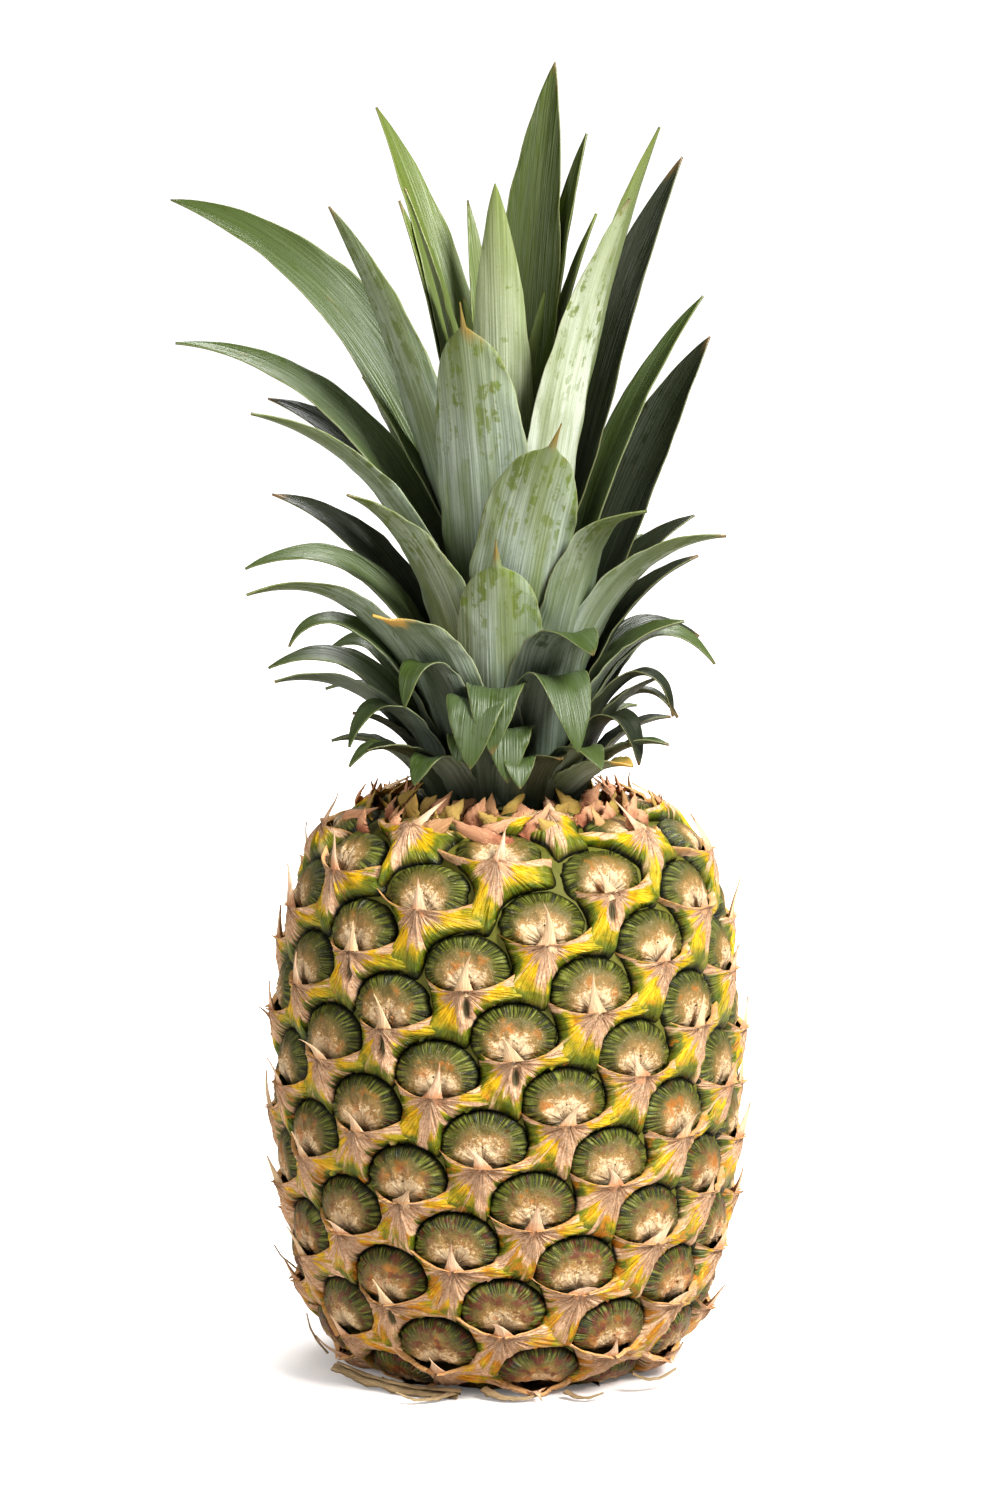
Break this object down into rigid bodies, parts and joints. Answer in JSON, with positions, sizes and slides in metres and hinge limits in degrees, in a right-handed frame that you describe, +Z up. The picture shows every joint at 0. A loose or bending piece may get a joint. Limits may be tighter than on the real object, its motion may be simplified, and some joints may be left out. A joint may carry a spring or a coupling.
{
  "type": "pineapple",
  "caption": "Whole ripe pineapple standing on its cut base, with a crown of stiff channelled leaves; free-standing fresh fruit.",
  "frame": {"origin": "middle of the flat base, on the face of the cut stalk, at the height of the table", "axes": "+Z up along the fruit's axis towards the crown, -Y towards the side first seen, +X to the right of that view"},
  "size_m": [0.1557, 0.1274, 0.3583],
  "materials": {
    "fruit_skin": "matt domed eyes, tan to grey-green, with dark green rims and papery yellow bracts",
    "cut_stalk": "dry fibrous cut end",
    "dry_straw": "dry fibrous straw",
    "crown_core": "pale fibrous stem",
    "leaf_green": "waxy grey-green bloom over dark green, fine parallel veins, dry brown tips"
  },
  "bodies": {
    "root": {"fruit": "fruit_skin", "stalk_stub": "cut_stalk", "dry_strap": "dry_straw", "crown_stem": "crown_core", "leaf_01": "leaf_green", "leaf_02": "leaf_green", "leaf_03": "leaf_green", "leaf_04": "leaf_green", "leaf_05": "leaf_green", "leaf_06": "leaf_green", "leaf_07": "leaf_green", "leaf_08": "leaf_green", "leaf_09": "leaf_green", "leaf_10": "leaf_green", "leaf_11": "leaf_green", "leaf_12": "leaf_green", "leaf_13": "leaf_green", "leaf_14": "leaf_green", "leaf_15": "leaf_green", "leaf_16": "leaf_green", "leaf_17": "leaf_green", "leaf_18": "leaf_green", "leaf_19": "leaf_green", "leaf_20": "leaf_green", "leaf_21": "leaf_green", "leaf_22": "leaf_green", "leaf_23": "leaf_green", "leaf_24": "leaf_green", "leaf_25": "leaf_green", "leaf_26": "leaf_green", "leaf_27": "leaf_green", "leaf_28": "leaf_green", "leaf_29": "leaf_green", "leaf_30": "leaf_green", "leaf_31": "leaf_green", "leaf_32": "leaf_green", "leaf_33": "leaf_green", "leaf_34": "leaf_green", "leaf_35": "leaf_green", "leaf_36": "leaf_green", "leaf_37": "leaf_green", "leaf_38": "leaf_green", "leaf_39": "leaf_green", "leaf_40": "leaf_green", "leaf_41": "leaf_green", "leaf_42": "leaf_green", "leaf_43": "leaf_green", "leaf_44": "leaf_green", "leaf_45": "leaf_green", "leaf_46": "leaf_green", "leaf_47": "leaf_green", "leaf_48": "leaf_green", "leaf_49": "leaf_green", "leaf_50": "leaf_green", "leaf_51": "leaf_green", "leaf_52": "leaf_green", "leaf_53": "leaf_green", "leaf_54": "leaf_green", "leaf_55": "leaf_green", "leaf_56": "leaf_green"}
  },
  "joints": []
}
